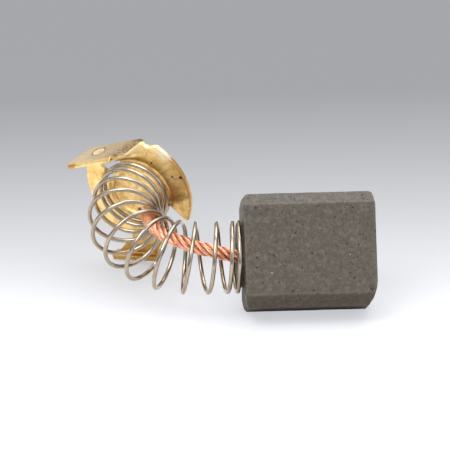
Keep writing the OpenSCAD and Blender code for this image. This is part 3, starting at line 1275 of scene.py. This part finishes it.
@dataclass
class StampedTerminal:
    """The brass plate with tab, wing, ear and foot, and the weld behind it."""

    pose: RestingPose = RestingPose()
    seat: SeatFrame = SeatFrame()
    finish: BrassFinish = BrassFinish()
    wear: Softening = Softening(voxel=0.055, passes=3)
    lumps: Triple = (1.6, 0.02, 5.0)
    weld: PlainFinish = WELDED
    weld_wear: Softening = Softening(voxel=0.05, passes=2)
    weld_swell: float = 0.06
    weld_lumps: Triple = (0.45, 0.05, 2.0)
    tab_y: float = 3.85
    fold_r: float = 0.42
    fold_end_x: float = 2.5
    crown: float = 0.05
    crown_power: float = 1.5
    crown_from: float = 3.65
    crown_to: float = 6.3
    rim_drop: float = 0.24
    wing_over: float = 1.6
    low_z: float = -1.2
    low_over: float = 0.7
    fold_reach: float = 0.5
    fold_over: float = 1.6

    def _formed(self, p: Vector) -> Vector:
        """Round the fold and crown the wing as the press does.

        Args:
            p: a point in the seat's frame, in millimetres.

        Returns:
            The point after forming.
        """
        q = p.copy()
        u, w = q.y - (self.tab_y - self.fold_r), q.z + self.fold_r
        if u > 0 and w > 0 and q.x < self.fold_end_x:
            k = max(u, w) / math.hypot(u, w)
            q.y, q.z = self.tab_y - self.fold_r + u * k, w * k - self.fold_r
        share = (math.hypot(p.x, p.y) - self.crown_from) / (self.crown_to - self.crown_from)
        if share > 0 and p.x > 0:
            side = smooth_step(p.x / self.wing_over)
            side *= smooth_step((p.z - self.low_z) / self.low_over)
            calm = smooth_step((self.tab_y + self.fold_reach - p.y) / self.fold_over)
            rise = self.crown * calm * math.sin(math.pi * min(1.0, share)) ** self.crown_power
            q.z += side * (rise - self.rim_drop * share ** 2)
        return q

    def build(self) -> list[Object]:
        """Make the plate with stamped edges, and the weld."""
        mesh = self.wear.mesh("terminal")
        axes = self.pose.turn() @ self.seat.axes()
        origin = self.pose.to_table(self.seat.point(Vector())) / MM
        back = axes.transposed()
        move_to(mesh, [axes @ self._formed(back @ (v.co - origin)) + origin
                       for v in mesh.vertices])
        plate = finished("terminal_plate", roughened(mesh, self.lumps),
                         self.finish.make("brass_stamped", self.pose, self.seat))
        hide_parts("terminal")
        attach(plate, BODY)
        drop = self.weld_wear.mesh("weld")
        move_to(drop, [co + normal * self.weld_swell for co, normal in sided(drop)])
        joint = finished("weld_spot", roughened(drop, self.weld_lumps),
                         self.weld.make("weld_dull"))
        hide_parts("weld")
        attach(joint, BODY)
        return [plate, joint]


@dataclass(frozen=True)
class Lamp:
    """A soft box that looks at the brush, placed in metres."""

    name: str
    place: Triple
    size: Pair
    watts: float
    colour: Triple = (1.0, 0.98, 0.95)

    def build(self, target: Vector) -> None:
        """Put the lamp in the scene, turned to the target."""
        data = bpy.data.lights.new(self.name, "AREA")
        data.shape = "RECTANGLE"
        data.size, data.size_y = self.size
        data.energy = self.watts
        data.color = self.colour
        lamp = link(bpy.data.objects.new(self.name, data))
        lamp.location = self.place
        lamp.rotation_euler = (target - lamp.location).to_track_quat("-Z", "Y").to_euler()


@dataclass
class Studio:
    """Floor, lamps, world and camera."""

    look_at: Triple = (0.084, -4.077, 8.046)
    toward: Triple = (-0.063, -0.9163, 0.3956)
    view_width: float = 41.265
    distance: float = 1.2
    sensor: float = 36.0
    clip_end: float = 10.0
    floor_half: float = 1.5
    floor_far: Triple = (0.284, 0.289, 0.303)
    floor_gain: float = 3.7
    floor_fall_y: Pair = (0.046, -0.014)
    floor_share: float = 0.6
    floor_mirrored: float = 0.88
    floor_bounce: Triple = (0.31, 0.27, 0.22)
    floor_rough: float = 0.9
    lamp_aim: Triple = (0.0, 0.0, 0.005)
    lamps: tuple[Lamp, ...] = (
        Lamp("key_box", (-0.20, -0.22, 0.42), (0.34, 0.34), 1.7),
        Lamp("top_box", (0.10, 0.18, 0.52), (0.50, 0.40), 1.6),
        Lamp("fill_box", (0.40, -0.30, 0.20), (0.25, 0.30), 0.35),
    )
    world_z: Pair = (-0.05, 0.85)
    world_level: Pair = (0.25, 0.75)
    world_mirrored: float = 0.6
    world_colour: Triple = (0.97, 0.98, 1.0)

    def floor(self) -> None:
        """Lay a pale floor whose tone falls off to the back."""
        half = self.floor_half
        mesh = bpy.data.meshes.new("floor")
        mesh.from_pydata([(-half, -half, 0), (half, -half, 0), (half, half, 0), (-half, half, 0)],
                         [], [(0, 1, 2, 3)])
        piece = link(bpy.data.objects.new("floor", mesh))
        material = bpy.data.materials.new("floor_paper")
        material.use_nodes = True
        t = Tree(material.node_tree)
        near, far = self.floor_fall_y
        y = t.split(t.add("ShaderNodeTexCoord").outputs["Object"])[1]
        fall = t.fed("ShaderNodeMapRange", Value=y, From_Min=near, From_Max=far).outputs[0]
        gain = t.math("POWER", self.floor_gain, fall)
        tone = t.vector("MULTIPLY", self.floor_far, gain)
        path = t.add("ShaderNodeLightPath")
        seen = path.outputs["Is Camera Ray"]
        unseen = t.mix(path.outputs["Is Glossy Ray"], rgba(self.floor_bounce),
                       rgba((self.floor_mirrored,) * 3))
        lit = t.vector("MULTIPLY", tone, (1.0 - self.floor_share,) * 3)
        t.feed(t.tree.nodes["Principled BSDF"], Base_Color=t.mix(seen, unseen, lit),
               Roughness=self.floor_rough, Emission_Color=tone,
               Emission_Strength=t.times(seen, self.floor_share))
        mesh.materials.append(material)

    def world(self) -> None:
        """Light the scene from all around, a little more from above."""
        world = bpy.data.worlds.new("room")
        world.use_nodes = True
        bpy.context.scene.world = world
        t = Tree(world.node_tree)
        z = t.split(t.add("ShaderNodeTexCoord").outputs["Generated"])[2]
        level = t.ramp(z, *self.world_z, *self.world_level)
        path = t.add("ShaderNodeLightPath")
        mirrored = t.times(path.outputs["Is Glossy Ray"], self.world_mirrored)
        t.feed(t.tree.nodes["Background"], Color=rgba(self.world_colour),
               Strength=t.times(level, t.plus(1.0, mirrored)))

    def camera(self) -> None:
        """Set a long lens at the viewing angle."""
        data = bpy.data.cameras.new("camera")
        target = Vector(self.look_at) * MM
        toward = Vector(self.toward).normalized()
        data.sensor_width = self.sensor
        data.lens = data.sensor_width * self.distance / (self.view_width * MM)
        data.clip_end = self.clip_end
        camera = link(bpy.data.objects.new("camera", data))
        camera.location = target + toward * self.distance
        camera.rotation_euler = (-toward).to_track_quat("-Z", "Y").to_euler()
        bpy.context.scene.camera = camera

    def build(self) -> None:
        """Set up everything that isn't the brush."""
        bpy.context.scene.view_settings.view_transform = "Standard"
        self.floor()
        self.world()
        self.camera()
        for lamp in self.lamps:
            lamp.build(Vector(self.lamp_aim))


def main() -> None:
    """Build the studio and each sub-assembly, and report every piece."""
    logging.basicConfig(level=logging.INFO, format="%(name)s: %(message)s")
    Studio().build()
    for part in (GraphiteBlock(), CoilSpring(), CopperShunt(), StampedTerminal()):
        for piece in part.build():
            log.info("%s: %d faces", piece.name, len(piece.data.polygons))


if __name__ == "__main__":
    main()
